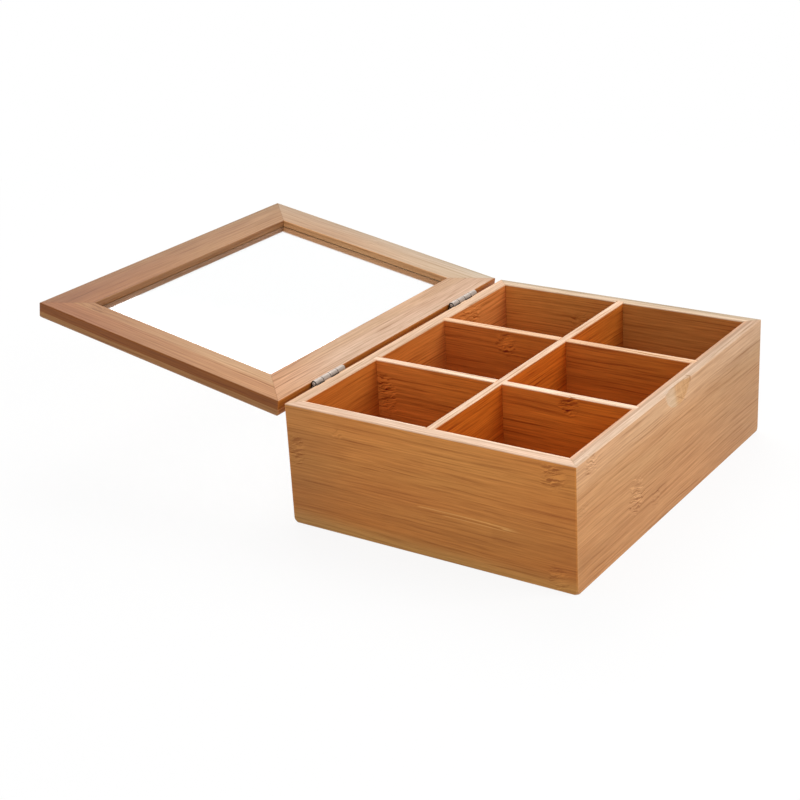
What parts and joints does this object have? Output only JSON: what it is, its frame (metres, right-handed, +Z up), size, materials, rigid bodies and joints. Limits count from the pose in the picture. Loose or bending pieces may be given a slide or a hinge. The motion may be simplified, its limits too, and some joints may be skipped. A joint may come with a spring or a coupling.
{
  "type": "tea bag organizer box",
  "caption": "Bamboo tea box divided into cells, with a finger scoop in the front wall and a hinged lid that frames a clear window, stored with the lid open.",
  "frame": {"origin": "centre of the underside of the box, on the surface that it rests on", "axes": "+Z up, +X to the right seen from the front, -Y towards the front wall with the finger scoop"},
  "size_m": [0.26, 0.4029, 0.1155],
  "materials": {
    "bamboo": "carbonised laminated bamboo with a thin satin lacquer",
    "bamboo_base": "carbonised bamboo panel, satin",
    "clear_acrylic": "clear polished sheet",
    "nickel": "nickel-plated steel"
  },
  "bodies": {
    "box": {"base_panel": "bamboo_base", "front_wall": "bamboo", "rear_wall": "bamboo", "left_wall": "bamboo", "right_wall": "bamboo", "long_divider": "bamboo", "left_cross_divider": "bamboo", "right_cross_divider": "bamboo", "left_hinge_box_leaf": "nickel", "left_hinge_pin": "nickel", "left_hinge_box_screws": "nickel", "right_hinge_box_leaf": "nickel", "right_hinge_pin": "nickel", "right_hinge_box_screws": "nickel"},
    "lid": {"lid_front_rail": "bamboo", "lid_rear_rail": "bamboo", "lid_left_rail": "bamboo", "lid_right_rail": "bamboo", "window_pane": "clear_acrylic", "left_hinge_lid_leaf": "nickel", "left_hinge_lid_screws": "nickel", "right_hinge_lid_leaf": "nickel", "right_hinge_lid_screws": "nickel"}
  },
  "joints": [
    {"name": "lid_hinge", "type": "hinge", "parent": "box", "child": "lid", "pos_m": [0, 0.1022, 0.0806], "axis": [1, 0, 0], "range_deg": [0, 170]}
  ]
}
